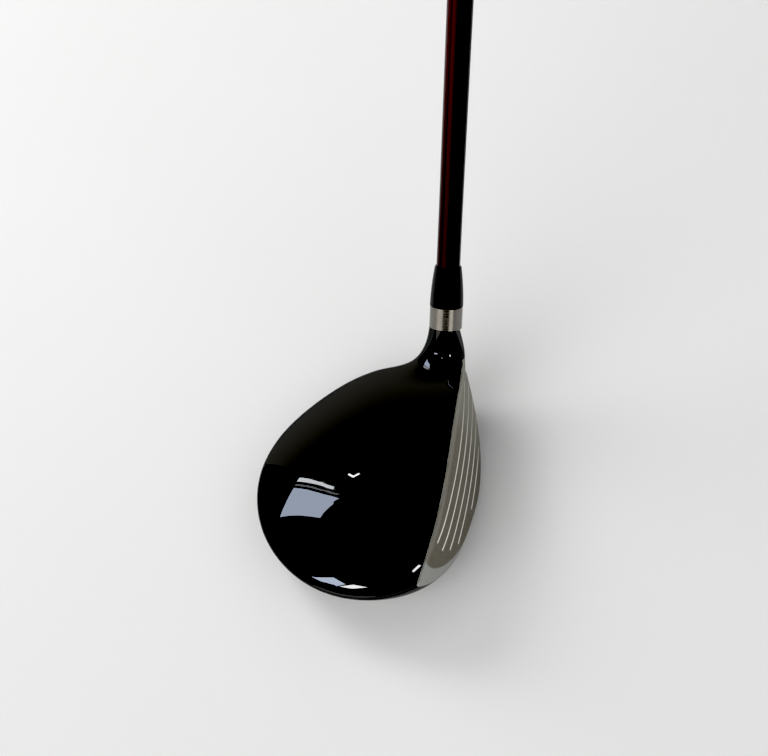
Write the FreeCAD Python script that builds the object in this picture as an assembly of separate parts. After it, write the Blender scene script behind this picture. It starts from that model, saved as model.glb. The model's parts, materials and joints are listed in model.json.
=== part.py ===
import FreeCAD, Part

import math
import os

from FreeCAD import Vector

# A right-handed fairway wood standing at address. Millimetres.
# X points at the target, so the face looks along +X. Y points from the toe to the
# heel, so the shaft leans towards +Y. Z is up. The origin is the middle of the small
# flat on the sole that the club rests on.

# ---------------------------------------------------------------- driving dimensions
CLUB_LENGTH = 1092.0      # along the shaft, from the ground to the top of the grip
LIE_ANGLE = 57.5          # between the shaft and the ground
LOFT_ANGLE = 15.4         # of the face at its middle
FACE_ANGLE = 0.05         # the face is very nearly square to the target
BULGE_RADIUS = 292.0      # of the face, seen from above
ROLL_RADIUS = 290.0       # of the face, seen from the side
SHAFT_X = -0.2            # where the shaft's axis meets the ground
SHAFT_Y = 35.0

# head
PLAN_CENTRE = (-21.9, -1.5)
# The head's outline from above: radii from the plan centre, one each 30 degrees,
# starting at the front and turning towards the heel. The face cuts the front off.
PLAN_RADII = [51.8, 54.6, 52.0, 49.2, 42.4, 39.4, 40.8, 44.4, 50.6, 57.9, 59.7, 51.2]
RIM_HEIGHT = 18.7         # of the rim, where crown and skirt meet, above the ground
RIM_SLOPE = 0.223         # the rim climbs towards the face
RIM_BEND = 250.0          # and bends upwards with this radius
RIM_TILT = 0.01           # and climbs a little towards the heel
RIM_SOFTNESS = 2.5        # width of the rounding along the rim
HEEL_SOFTNESS = 0.12      # more of it for each millimetre past the line below
HEEL_SOFTNESS_START = 15.0
CROWN_RISE = 9.2          # crown above the rim
CROWN_POWER = 2.7         # flatness of the crown's middle
CROWN_LEAN = -0.0045      # the crown rises more at the toe, by this share per millimetre
SOLE_RADIUS = 248.0
SOLE_DROP = 1.2           # the sole's curve reaches this far under the resting flat
SKIRT_POWER = 8.0         # flatness of the sole before it turns up to the rim
NECK_BLEND = 13.0         # softness of the join between neck and crown
NECK_ROOT = 14.0          # the round bar of the neck starts here, along the shaft's axis
FACE_X = 14.3             # of the face at the height below
FACE_MID_HEIGHT = 17.2
TOE_ROLL_START = 28.4     # from here towards the toe the face rolls back
TOE_ROLL = 0.0040         # by this much for each millimetre squared

CROWN_WALL = 1.0
SKIRT_WALL = 1.5
SOLE_WALL = 2.0
PARTING_HEIGHT = 8.5      # of the seam between the shell and the sole at the plan centre
PARTING_SLOPE = 0.119     # the seam climbs towards the face

# face plate
PLATE_THICKNESS = 2.6
LIP_THICKNESS = 0.7       # the plate's lip laps over the front rim
LIP_WIDTH = 2.4
LIP_OVERLAP = 0.2         # how deep the thick middle starts, so that the two melt together
PLATE_HEEL_END = 28.4     # the plate stops here, measured along the shaft from the ground
LINE_COUNT = 5
LINE_PITCH = 4.8          # vertical distance between score lines
TOP_LINE_HEIGHT = 27.1
LINE_WIDTH = 0.85
LINE_DEPTH = 0.35
PAINT_RECESS = 0.04
LINE_TOE_ENDS = [-38.8, -38.5, -34.5, -28.2, -8.8]
LINE_HEEL_ENDS = [35.5, 37.5, 35.5, 32.0, 20.5]

# neck, ring, ferrule and shaft: distances along the shaft's axis from the ground
NECK_RADIUS = 6.1
NECK_TOP = 39.05
RING_HEIGHT = 8.7
RING_RADIUS = 6.15
RING_EDGE = 0.25
FERRULE_HEIGHT = 15.2
FERRULE_BASE_RADIUS = 6.25
FERRULE_MIDDLE_RADIUS = 5.85
FERRULE_TOP_RADIUS = 5.0
FERRULE_LIP = (4.8, 0.4)  # radius and height of the thin bevel at the top
SHAFT_TIP = 7.4
SHAFT_TIP_RADIUS = 4.25   # bare for bonding
SHAFT_COAT_RADIUS = 4.42  # painted, from the ring upwards
SHAFT_TAPER_START = 84.0
SHAFT_TAPER_END = 690.0
SHAFT_BUTT_RADIUS = 7.6
SHAFT_TIP_WALL = 1.35
SHAFT_BUTT_WALL = 0.95
BOND_THICKNESS = 0.15
SOCKET_FLOOR = 1.8        # steel under the shaft's tip
SOCKET_WALL = 1.3         # of the tube that carries the socket inside the head
SOCKET_TUBE_GAP = 3.0     # the tube stops this far under the neck's end
TIP_PLUG_LENGTH = 14.0
TIP_PLUG_HEAD = 1.2

# grip
GRIP_LENGTH = 267.0
GRIP_MOUTH_RADIUS = 8.7
GRIP_BUTT_RADIUS = 11.6
GRIP_CAP_THICKNESS = 4.0
GRIP_CAP_RADIUS = 12.9
GRIP_CAP_SKIRT = 9.0
GRIP_CAP_FLARE = 3.0      # height over which the cap widens
GRIP_CAP_EDGE = 2.0       # rounding of its end
GRIP_MOUTH_EDGE = (0.5, 1.0)
TAPE_THICKNESS = 0.25
TAPE_MARGIN = 8.0
VENT_RADIUS = 1.6

# sole weight and the gel inside
WEIGHT_X = -33.0
WEIGHT_Y = -2.0
WEIGHT_RADIUS = 6.5
WEIGHT_HEIGHT = 5.0
WEIGHT_RECESS = 0.5
WEIGHT_BOSS_WALL = 2.2
WEIGHT_EDGE = 0.5
HEX_ACROSS_FLATS = 5.0
HEX_DEPTH = 3.0
GEL_LEVEL = 6.0
GEL_X = -12.0
GEL_Y = -33.0
GEL_RADIUS = 16.0

# small alignment mark let into the crown
MARK_X = -25.3
MARK_Y = -13.0
MARK_ARM = 2.1            # length of each arm of the plain chevron, between its rounded ends
MARK_RISE = 33.0          # degrees, of each arm
MARK_WIDTH = 0.75
MARK_DEPTH = 0.12

# ---------------------------------------------------------------- derived values
LIE = math.radians(LIE_ANGLE)
LOFT = math.radians(LOFT_ANGLE)
AXIS = Vector(0, math.cos(LIE), math.sin(LIE))
AXIS_FOOT = Vector(SHAFT_X, SHAFT_Y, 0)
NECK_END = NECK_TOP + 8.0       # the bar ends inside the ring, where the neck is cut
RING_TOP = NECK_TOP + RING_HEIGHT
FERRULE_TOP = RING_TOP + FERRULE_HEIGHT
SHAFT_BUTT = CLUB_LENGTH - GRIP_CAP_THICKNESS
GRIP_MOUTH = CLUB_LENGTH - GRIP_LENGTH
SOCKET_RADIUS = SHAFT_TIP_RADIUS + BOND_THICKNESS
BIG = 400.0               # larger than any head feature
CUTTER_REACH = 20.0       # how far a cutting shape sticks out


# ---------------------------------------------------------------- head surface
def periodic_radius():
    """The plan outline's radius as a smooth closed function of the angle in degrees."""
    step = 360.0 / len(PLAN_RADII)
    values = [Vector(radius, 0, 0) for radius in PLAN_RADII]
    angles = [step * i for i in range(len(PLAN_RADII) + 1)]
    curve = Part.BSplineCurve()
    curve.interpolate(Points=values, PeriodicFlag=True, Parameters=angles)
    return curve


PLAN_CURVE = periodic_radius()


def plan_radius(angle):
    return PLAN_CURVE.value(math.degrees(angle) % 360.0).x


def rim_height(x, y):
    """Height of the rim, the head's widest line."""
    along = x - PLAN_CENTRE[0]
    return RIM_HEIGHT + RIM_SLOPE * along + along * along / (2 * RIM_BEND) + RIM_TILT * y


def sole_height(x, y):
    return (x * x + y * y) / (2 * SOLE_RADIUS) - SOLE_DROP


def skin_heights(x, y, side, crown, sole):
    """Heights of the crown and of the underside. side, crown and sole are insets."""
    dx = x - PLAN_CENTRE[0]
    dy = y - PLAN_CENTRE[1]
    share = math.hypot(dx, dy) / (plan_radius(math.atan2(dy, dx)) - side)
    rim = rim_height(x, y)
    rise = CROWN_RISE * (1 - share ** CROWN_POWER) * (1 + CROWN_LEAN * dy)
    bottom = sole_height(x, y)
    return rim + rise - crown, bottom + (rim - bottom) * share ** SKIRT_POWER + sole


def soft_overlap(a, b, softness):
    """What a soft join of two distances adds where they are nearly equal."""
    overlap = max(softness - abs(a - b), 0) / softness
    return overlap * overlap * softness / 4


def egg_distance(x, y, z, insets):
    """Signed distance to the skin without its neck, to first order."""
    step = 0.05
    here = skin_heights(x, y, *insets)
    ahead = skin_heights(x + step, y, *insets)
    beside = skin_heights(x, y + step, *insets)
    slopes = [math.hypot(1, (a - h) / step, (b - h) / step) for h, a, b in zip(here, ahead, beside)]
    over = (z - here[0]) / slopes[0]
    under = (here[1] - z) / slopes[1]
    softness = RIM_SOFTNESS + HEEL_SOFTNESS * max(0.0, y - HEEL_SOFTNESS_START)
    return max(over, under) + soft_overlap(over, under, softness)


def neck_distance(x, y, z):
    """Signed distance to the neck, a round bar with round ends."""
    dx, dy, dz = x - SHAFT_X, y - SHAFT_Y, z
    along = min(max(dy * AXIS.y + dz * AXIS.z, NECK_ROOT), NECK_END)
    return math.sqrt(dx * dx + (dy - along * AXIS.y) ** 2 + (dz - along * AXIS.z) ** 2) - NECK_RADIUS


def head_distance(x, y, z):
    """Egg and neck, softly joined."""
    egg = egg_distance(x, y, z, (0, 0, 0))
    neck = neck_distance(x, y, z)
    return min(egg, neck) - soft_overlap(egg, neck, NECK_BLEND)


def cavity_distance(x, y, z):
    return egg_distance(x, y, z, (SKIRT_WALL, CROWN_WALL, SOLE_WALL))


# ---------------------------------------------------------------- skin through rings
RING_POINTS = 64
RIM_CROWDING = 0.7        # how much closer the points stand at the rim
CAP_TURNS = (25, 50, 75)  # degrees, of the rings over the neck's round end
NECK_STEPS = (0.0, 4.0, 8.0)
FAN_RINGS = 20            # rings that swing from the neck down into the head
TOE_RINGS = 24            # and from there to the toe
INNER_RINGS = 30          # rings of the cavity and of the opening behind the face
OUTLINE_STEPS = 1440
BISECTIONS = 26
RAY_HEIGHT = 15.0         # rays aim this high on a ring at least twice as wide
FAN_PIVOT = Vector(0, 27.0, 45.0)
FAN_HALF_WIDTH = 6.0      # of the ray pattern where the fan starts, at the neck


def ring_on_skin(distance, centre, up, half_width, half_height, follow=0.0):
    """Points where rays from centre, in the plane of X and up, leave the shape.

    follow, from 0 to 1, says how much the rays follow the rim's climb towards the face."""
    points = []
    for k in range(RING_POINTS):
        turn = 2 * math.pi * k / RING_POINTS
        angle = turn - follow * RIM_CROWDING * math.sin(2 * turn) / 2
        across = half_width * math.cos(angle)
        climb = follow * (rim_height(centre.x + across, centre.y) - rim_height(centre.x, centre.y))
        ray = Vector(across, 0, 0) + up * (half_height * math.sin(angle) + climb)
        low, high = 0.0, 0.5
        while distance(*(centre + ray * high)) < 0:
            low, high = high, high * 1.5
        for _ in range(BISECTIONS):
            middle = (low + high) / 2
            if distance(*(centre + ray * middle)) < 0:
                low = middle
            else:
                high = middle
        points.append(centre + ray * high)
    return points


def skin_solid(first_pole, rings, last_pole):
    """A closed smooth solid through rings of points, between two poles."""
    ring_parameters = [float(k) for k in range(RING_POINTS + 1)]
    ring_poles = []
    for ring in rings:
        curve = Part.BSplineCurve()
        curve.interpolate(Points=ring, PeriodicFlag=True, Parameters=ring_parameters)
        ring_poles.append(curve.getPoles())
    steps = [0.0]
    ends = [[first_pole] * RING_POINTS] + rings + [[last_pole] * RING_POINTS]
    for before, after in zip(ends, ends[1:]):
        gap = sum(p.distanceToPoint(q) for p, q in zip(before, after)) / RING_POINTS
        steps.append(steps[-1] + gap)
    columns = []
    for j in range(len(ring_poles[0])):
        column = [first_pole] + [poles[j] for poles in ring_poles] + [last_pole]
        along = Part.BSplineCurve()
        along.interpolate(Points=column, PeriodicFlag=False, Parameters=steps)
        columns.append(along)
    surface = Part.BSplineSurface()
    surface.buildFromPolesMultsKnots(
        [column.getPoles() for column in columns],
        curve.getMultiplicities(), columns[0].getMultiplicities(),
        curve.getKnots(), columns[0].getKnots(), True, False, 3, 3)
    solid = Part.Solid(Part.Shell([surface.toShape()]))
    if solid.Volume < 0:
        solid.reverse()
    return solid


def outline_points(inset):
    """The plan outline, pulled in by inset, as closely spaced (x, y) points."""
    points = []
    for k in range(OUTLINE_STEPS):
        angle = 2 * math.pi * k / OUTLINE_STEPS
        radius = plan_radius(angle) - inset
        x = PLAN_CENTRE[0] + radius * math.cos(angle)
        points.append((x, PLAN_CENTRE[1] + radius * math.sin(angle)))
    return points


def outline_limits(y, inset):
    """Front and rear of the plan outline at this y."""
    xs = []
    points = outline_points(inset)
    for before, here in zip(points, points[1:] + points[:1]):
        if (before[1] - y) * (here[1] - y) <= 0 and here[1] != before[1]:
            share = (y - before[1]) / (here[1] - before[1])
            xs.append(before[0] + share * (here[0] - before[0]))
    return max(xs), min(xs)


def outline_end(sign, inset, distance):
    """The skin's outermost point towards +Y or -Y."""
    x, outside = max(outline_points(inset), key=lambda point: sign * point[1])
    inside = outside - sign * RAY_HEIGHT
    for _ in range(BISECTIONS):
        middle = (inside + outside) / 2
        if distance(x, middle, rim_height(x, middle)) < 0:
            inside = middle
        else:
            outside = middle
    return Vector(x, inside, rim_height(x, inside))


def upright_ring(distance, y, inset):
    """A ring of the head in the upright plane at this y."""
    front, rear = outline_limits(y, inset)
    half = (front - rear) / 2
    x = (front + rear) / 2
    height = min(RAY_HEIGHT, half / 2)
    return ring_on_skin(distance, Vector(x, y, rim_height(x, y)), Vector(0, 0, 1), half, height, 1.0)


def head_skin():
    """The outside of the head: crown, sole, heel, toe and neck as one smooth skin."""
    toe = outline_end(-1, 0, head_distance)
    rings = neck_rings() + fan_rings()
    for k in range(1, TOE_RINGS):
        share = 1 - math.sin(math.pi / 2 * k / TOE_RINGS)
        rings.append(upright_ring(head_distance, toe.y + (FAN_PIVOT.y - toe.y) * share, 0))
    return skin_solid(AXIS_FOOT + AXIS * (NECK_END + NECK_RADIUS), rings, toe)


def neck_rings():
    """Rings square to the shaft: over the neck's round end and down its side."""
    across = Vector(0, -AXIS.z, AXIS.y)
    lifts = [NECK_RADIUS * math.cos(math.radians(degrees)) for degrees in CAP_TURNS]
    alongs = [NECK_END + lift for lift in lifts] + [NECK_END - step for step in NECK_STEPS]
    return [ring_on_skin(head_distance, AXIS_FOOT + AXIS * along, across, 1.0, 1.0) for along in alongs]


def fan_rings():
    """Rings that swing about the pivot, from square to the shaft to upright."""
    start = AXIS_FOOT + AXIS * (FAN_PIVOT - AXIS_FOOT).dot(AXIS)
    front, rear = outline_limits(FAN_PIVOT.y, 0)
    end = Vector((front + rear) / 2, FAN_PIVOT.y, rim_height((front + rear) / 2, FAN_PIVOT.y))
    first_reach, last_reach = [math.hypot(p.y - FAN_PIVOT.y, p.z - FAN_PIVOT.z) for p in (start, end)]
    rings = []
    for k in range(FAN_RINGS + 1):
        share = k / FAN_RINGS
        turn = (math.pi / 2 - LIE) + share * LIE
        out = Vector(0, math.cos(turn), -math.sin(turn))
        ease = share * share * (3 - 2 * share)
        centre = FAN_PIVOT + out * (first_reach + share * (last_reach - first_reach))
        centre.x = start.x + ease * (end.x - start.x)
        half_width = FAN_HALF_WIDTH + ease * ((front - rear) / 2 - FAN_HALF_WIDTH)
        half_height = FAN_HALF_WIDTH + ease * (RAY_HEIGHT - FAN_HALF_WIDTH)
        rings.append(ring_on_skin(head_distance, centre, out * -1, half_width, half_height, ease))
    return rings


def inner_skin(distance, inset):
    """A closed skin without a neck, for a shape pulled in from the head's outline."""
    heel = outline_end(1, inset, distance)
    toe = outline_end(-1, inset, distance)
    rings = []
    for k in range(1, INNER_RINGS):
        y = (heel.y + toe.y) / 2 + (heel.y - toe.y) / 2 * math.cos(math.pi * k / INNER_RINGS)
        rings.append(upright_ring(distance, y, inset))
    return skin_solid(heel, rings, toe)


# ---------------------------------------------------------------- face
def face_x(y, z):
    """The hitting face: lofted, with bulge, roll and a toe that rolls back."""
    up = z - FACE_MID_HEIGHT
    bulge = y * y / (2 * BULGE_RADIUS)
    roll = up * up / (2 * ROLL_RADIUS * math.cos(LOFT))
    toe = TOE_ROLL * max(0.0, -y - TOE_ROLL_START) ** 2
    return FACE_X - math.tan(LOFT) * up + math.tan(math.radians(FACE_ANGLE)) * y - bulge - roll - toe


SHEET_Y = range(-70, 71, 5)     # where the face's formula is sampled
SHEET_Z = range(-20, 71, 10)


def face_sheet():
    grid = [[Vector(face_x(y, z), y, z) for z in SHEET_Z] for y in SHEET_Y]
    surface = Part.BSplineSurface()
    surface.interpolate(grid)
    return surface.toShape()


FACE_SHEET = face_sheet()


def behind_face(depth, thickness):
    """The slab that starts depth behind the hitting face and is thickness deep."""
    sheet = FACE_SHEET.translated(Vector(-depth - thickness, 0, 0))
    return sheet.extrude(Vector(thickness, 0, 0))


def in_front_of_face(depth):
    """Everything further forward than depth behind the hitting face."""
    return behind_face(depth, BIG).translated(Vector(BIG, 0, 0))


# ---------------------------------------------------------------- helpers on the shaft's axis
def bar(radius, start, end):
    return Part.makeCylinder(radius, end - start, AXIS_FOOT + AXIS * start, AXIS)


def turned(profile):
    """A solid turned about the shaft's axis from (radius, distance along) points."""
    points = [Vector(radius, 0, along) for radius, along in profile]
    wire = Part.makePolygon(points + points[:1])
    solid = Part.Face(wire).revolve(Vector(), Vector(0, 0, 1), 360)
    return place_on_axis(solid)


def place_on_axis(shape):
    shape.Placement = FreeCAD.Placement(AXIS_FOOT, FreeCAD.Rotation(Vector(0, 0, 1), AXIS))
    return shape


def shaft_radius(along):
    share = (along - SHAFT_TAPER_START) / (SHAFT_TAPER_END - SHAFT_TAPER_START)
    return SHAFT_COAT_RADIUS + (SHAFT_BUTT_RADIUS - SHAFT_COAT_RADIUS) * min(max(share, 0.0), 1.0)


def one_solid(shape):
    """The largest solid of a boolean's result, cleaned of split faces."""
    return max(shape.Solids, key=lambda solid: solid.Volume)


# ---------------------------------------------------------------- head parts
def under_parting():
    """The half space below the seam between the shell and the sole."""
    slope = math.degrees(math.atan(PARTING_SLOPE))
    block = Part.makeBox(BIG, BIG, BIG, Vector(-BIG / 2, -BIG / 2, -BIG))
    block.rotate(Vector(), Vector(0, 1, 0), -slope)
    block.translate(Vector(PLAN_CENTRE[0], 0, PARTING_HEIGHT))
    return block


def weight_column(radius, height):
    return Part.makeCylinder(radius, height, Vector(WEIGHT_X, WEIGHT_Y, weight_face()))


def weight_face():
    """Height of the weight's outer face: just inside the sole."""
    return sole_height(WEIGHT_X, WEIGHT_Y) + SOLE_DROP + WEIGHT_RECESS


def socket_tube():
    return bar(SOCKET_RADIUS + SOCKET_WALL, SHAFT_TIP - SOCKET_FLOOR, NECK_TOP - SOCKET_TUBE_GAP)


def socket_bore():
    return bar(SOCKET_RADIUS, SHAFT_TIP, NECK_TOP + CUTTER_REACH)


def whole_head(skin):
    """The head's outside, cut by the ground plane, the neck's end and the face."""
    below_ground = Part.makeBox(BIG, BIG, BIG, Vector(-BIG / 2, -BIG / 2, -BIG))
    above_neck = bar(CUTTER_REACH, NECK_TOP, NECK_END + CUTTER_REACH)
    return one_solid(skin.cut([below_ground, above_neck, in_front_of_face(0)]))


def opening_distance(x, y, z):
    """Signed distance to the egg pulled in all round by the lip's width."""
    return egg_distance(x, y, z, (LIP_WIDTH, LIP_WIDTH, LIP_WIDTH + SOLE_DROP))


def plate_solid(head):
    """Face plate without its score lines: a thick middle and a thin lip over the rim."""
    lip = head.common(behind_face(-1, 1 + LIP_THICKNESS)).cut(bar(BIG / 4, PLATE_HEEL_END, BIG))
    opening = inner_skin(opening_distance, LIP_WIDTH)
    middle = opening.common(behind_face(LIP_OVERLAP, PLATE_THICKNESS - LIP_OVERLAP)).common(head)
    return one_solid(lip.fuse(middle))


def score_line(index, front, back):
    """The part of one score line between two depths behind the face."""
    height = TOP_LINE_HEIGHT - LINE_PITCH * index
    toe = LINE_TOE_ENDS[index]
    heel = LINE_HEEL_ENDS[index]
    half = LINE_WIDTH / 2
    rear = FACE_X - 2 * CUTTER_REACH
    length = 3 * CUTTER_REACH
    corner = Vector(rear, toe + half, height - half)
    block = Part.makeBox(length, heel - toe - LINE_WIDTH, LINE_WIDTH, corner)
    for y in (toe + half, heel - half):
        block = block.fuse(Part.makeCylinder(half, length, Vector(rear, y, height), Vector(1, 0, 0)))
    return block.removeSplitter().common(behind_face(front, back - front))


def mark_inlay(skin):
    """The thin plain chevron let into the crown, which helps the player aim."""
    half = MARK_WIDTH / 2
    base = RIM_HEIGHT
    block = Part.makeCylinder(half, CUTTER_REACH, Vector(0, 0, base))
    for turn in (MARK_RISE, 180 - MARK_RISE):
        arm = Part.makeBox(MARK_ARM, MARK_WIDTH, CUTTER_REACH, Vector(0, -half, base))
        arm = arm.fuse(Part.makeCylinder(half, CUTTER_REACH, Vector(MARK_ARM, 0, base)))
        arm.rotate(Vector(), Vector(0, 0, 1), turn)
        block = block.fuse(arm)
    block.translate(Vector(MARK_X, MARK_Y, 0))
    lowered = skin.translated(Vector(0, 0, -MARK_DEPTH))
    return one_solid(block.removeSplitter().common(skin).cut(lowered))


def sole_weight():
    """A screwed plug with a hexagon socket, flush with the sole."""
    plug = weight_column(WEIGHT_RADIUS, WEIGHT_HEIGHT)
    corner = HEX_ACROSS_FLATS / math.sqrt(3)
    turns = [math.radians(60 * k) for k in range(7)]
    hexagon = [Vector(corner * math.cos(turn), corner * math.sin(turn), 0) for turn in turns]
    prism = Part.Face(Part.makePolygon(hexagon)).extrude(Vector(0, 0, HEX_DEPTH))
    prism.translate(Vector(WEIGHT_X, WEIGHT_Y, weight_face()))
    rim = [edge for edge in plug.Edges if abs(edge.CenterOfMass.z - weight_face()) < 0.01]
    return plug.makeChamfer(WEIGHT_EDGE, rim).cut(prism)


def tuning_gel(cavity):
    """A pool of tacky gel set on the inside of the sole, behind the toe."""
    pool = Part.makeCylinder(GEL_RADIUS, GEL_LEVEL, Vector(GEL_X, GEL_Y, 0))
    return one_solid(pool.common(cavity))


def head_parts():
    skin = head_skin()
    head = whole_head(skin)
    tube = socket_tube()
    cavity = inner_skin(cavity_distance, SKIRT_WALL).cut([in_front_of_face(PLATE_THICKNESS), tube])
    cavity = one_solid(cavity)
    plate = plate_solid(head)
    lines = [score_line(i, -1, LINE_DEPTH) for i in range(LINE_COUNT)]
    paint = [score_line(i, PAINT_RECESS, LINE_DEPTH) for i in range(LINE_COUNT)]
    mark = mark_inlay(skin)
    boss = weight_column(WEIGHT_RADIUS + WEIGHT_BOSS_WALL, WEIGHT_HEIGHT + 1).common(head)
    weight_hole = weight_column(WEIGHT_RADIUS, WEIGHT_HEIGHT + CUTTER_REACH)
    weight_hole.translate(Vector(0, 0, -CUTTER_REACH))
    walls = head.cut(cavity).cut(plate)
    low = under_parting()
    shell = one_solid(walls.cut(low).fuse(tube.common(head))).cut([socket_bore(), mark])
    sole = one_solid(walls.common(low).fuse(boss)).cut([tube, weight_hole])
    gel = tuning_gel(cavity).cut(boss)
    return {
        "head_shell": one_solid(shell),
        "sole_shell": one_solid(sole),
        "face_plate": one_solid(plate.cut(lines)),
        "score_line_paint": Part.makeCompound([one_solid(line) for line in paint]),
        "alignment_mark": mark,
        "sole_weight": sole_weight(),
        "tuning_gel": one_solid(gel),
    }


# ---------------------------------------------------------------- parts on the shaft
def hosel_ring():
    """Plain metal trim ring between the neck and the ferrule, edges just broken."""
    return turned([
        (SHAFT_TIP_RADIUS, NECK_TOP), (RING_RADIUS - RING_EDGE, NECK_TOP),
        (RING_RADIUS, NECK_TOP + RING_EDGE), (RING_RADIUS, RING_TOP - RING_EDGE),
        (RING_RADIUS - RING_EDGE, RING_TOP), (SHAFT_TIP_RADIUS, RING_TOP)])


def ferrule():
    """Tapered collar: a curved side from a base wider than the ring to a thin lip."""
    lip_radius, lip_height = FERRULE_LIP
    base = Vector(FERRULE_BASE_RADIUS, 0, RING_TOP)
    middle = Vector(FERRULE_MIDDLE_RADIUS, 0, RING_TOP + FERRULE_HEIGHT / 2)
    top = Vector(FERRULE_TOP_RADIUS, 0, FERRULE_TOP - lip_height)
    inner_top = Vector(SHAFT_COAT_RADIUS, 0, FERRULE_TOP)
    inner_base = Vector(SHAFT_COAT_RADIUS, 0, RING_TOP)
    lip = Vector(lip_radius, 0, FERRULE_TOP)
    side = Part.Arc(base, middle, top).toShape()
    wire = Part.Wire([
        side, Part.makeLine(top, lip), Part.makeLine(lip, inner_top),
        Part.makeLine(inner_top, inner_base), Part.makeLine(inner_base, base)])
    return place_on_axis(Part.Face(wire).revolve(Vector(), Vector(0, 0, 1), 360))


def shaft_bond():
    """The adhesive between the shaft's tip and the socket in the neck."""
    return turned([
        (SHAFT_TIP_RADIUS, SHAFT_TIP), (SOCKET_RADIUS, SHAFT_TIP),
        (SOCKET_RADIUS, NECK_TOP), (SHAFT_TIP_RADIUS, NECK_TOP)])


def shaft():
    tip_bore = SHAFT_TIP_RADIUS - SHAFT_TIP_WALL
    butt_bore = SHAFT_BUTT_RADIUS - SHAFT_BUTT_WALL
    return turned([
        (tip_bore, SHAFT_TIP), (SHAFT_TIP_RADIUS, SHAFT_TIP),
        (SHAFT_TIP_RADIUS, RING_TOP), (SHAFT_COAT_RADIUS, RING_TOP),
        (SHAFT_COAT_RADIUS, SHAFT_TAPER_START), (SHAFT_BUTT_RADIUS, SHAFT_TAPER_END),
        (SHAFT_BUTT_RADIUS, SHAFT_BUTT), (butt_bore, SHAFT_BUTT),
        (butt_bore, SHAFT_TAPER_END), (tip_bore, SHAFT_TAPER_START)])


def tip_plug():
    """A small metal plug in the shaft's tip that keeps adhesive out and adds weight."""
    radius = SHAFT_TIP_RADIUS - SHAFT_TIP_WALL
    return turned([
        (0, SHAFT_TIP), (radius, SHAFT_TIP),
        (radius, SHAFT_TIP + TIP_PLUG_LENGTH - TIP_PLUG_HEAD),
        (radius - TIP_PLUG_HEAD, SHAFT_TIP + TIP_PLUG_LENGTH), (0, SHAFT_TIP + TIP_PLUG_LENGTH)])


def grip_radius(along):
    share = (along - GRIP_MOUTH) / GRIP_LENGTH
    return GRIP_MOUTH_RADIUS + (GRIP_BUTT_RADIUS - GRIP_MOUTH_RADIUS) * share


def grip_tape():
    outer = SHAFT_BUTT_RADIUS + TAPE_THICKNESS
    return turned([
        (SHAFT_BUTT_RADIUS, GRIP_MOUTH + TAPE_MARGIN), (outer, GRIP_MOUTH + TAPE_MARGIN),
        (outer, SHAFT_BUTT), (SHAFT_BUTT_RADIUS, SHAFT_BUTT)])


def grip_sleeve():
    """The rubber sleeve: a rounded mouth and a long taper up to the cap."""
    bore = SHAFT_BUTT_RADIUS + TAPE_THICKNESS
    top = CLUB_LENGTH - GRIP_CAP_SKIRT
    mouth = GRIP_MOUTH_RADIUS
    back, up = GRIP_MOUTH_EDGE
    return turned([
        (SHAFT_BUTT_RADIUS, GRIP_MOUTH), (mouth - back, GRIP_MOUTH), (mouth, GRIP_MOUTH + up),
        (grip_radius(top), top), (bore, top),
        (bore, GRIP_MOUTH + TAPE_MARGIN), (SHAFT_BUTT_RADIUS, GRIP_MOUTH + TAPE_MARGIN)])


def grip_cap():
    """The hard rubber butt cap, with the small vent hole in its middle."""
    bore = SHAFT_BUTT_RADIUS + TAPE_THICKNESS
    base = CLUB_LENGTH - GRIP_CAP_SKIRT
    nick = GRIP_CAP_EDGE * (1 - math.sqrt(0.5))
    return turned([
        (bore, base), (grip_radius(base), base), (GRIP_CAP_RADIUS, base + GRIP_CAP_FLARE),
        (GRIP_CAP_RADIUS, CLUB_LENGTH - GRIP_CAP_EDGE), (GRIP_CAP_RADIUS - nick, CLUB_LENGTH - nick),
        (GRIP_CAP_RADIUS - GRIP_CAP_EDGE, CLUB_LENGTH), (VENT_RADIUS, CLUB_LENGTH),
        (VENT_RADIUS, SHAFT_BUTT), (bore, SHAFT_BUTT)])


def shaft_parts():
    return {
        "hosel_ring": hosel_ring(),
        "ferrule": ferrule(),
        "shaft_bond": shaft_bond(),
        "shaft": shaft(),
        "tip_plug": tip_plug(),
        "grip_tape": grip_tape(),
        "grip_sleeve": grip_sleeve(),
        "grip_cap": grip_cap(),
    }


def main():
    os.makedirs("parts", exist_ok=True)
    parts = {**head_parts(), **shaft_parts()}
    for name, shape in parts.items():
        if not shape.isValid():
            raise ValueError(name + " is not a valid shape")
        shape.exportStep(os.path.join("parts", name + ".step"))


main()
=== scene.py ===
import json
import math

import bmesh
import bpy
import numpy as np
from mathutils import Matrix, Vector

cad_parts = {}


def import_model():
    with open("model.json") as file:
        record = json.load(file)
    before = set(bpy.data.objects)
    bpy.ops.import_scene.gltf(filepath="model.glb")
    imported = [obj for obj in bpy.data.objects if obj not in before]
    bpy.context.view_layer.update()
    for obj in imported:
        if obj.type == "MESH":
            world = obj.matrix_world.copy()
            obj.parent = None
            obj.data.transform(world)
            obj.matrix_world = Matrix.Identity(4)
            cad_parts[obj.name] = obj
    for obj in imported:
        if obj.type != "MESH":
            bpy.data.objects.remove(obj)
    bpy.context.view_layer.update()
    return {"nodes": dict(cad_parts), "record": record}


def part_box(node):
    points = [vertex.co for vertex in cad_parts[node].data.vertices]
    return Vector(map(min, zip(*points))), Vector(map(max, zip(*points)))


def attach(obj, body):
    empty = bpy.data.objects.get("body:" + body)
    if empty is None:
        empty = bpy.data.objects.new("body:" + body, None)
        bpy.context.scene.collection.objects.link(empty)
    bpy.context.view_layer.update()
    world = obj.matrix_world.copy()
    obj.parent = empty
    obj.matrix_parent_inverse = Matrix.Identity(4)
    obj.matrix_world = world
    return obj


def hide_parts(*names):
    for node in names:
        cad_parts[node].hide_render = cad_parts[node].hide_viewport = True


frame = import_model()

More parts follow.
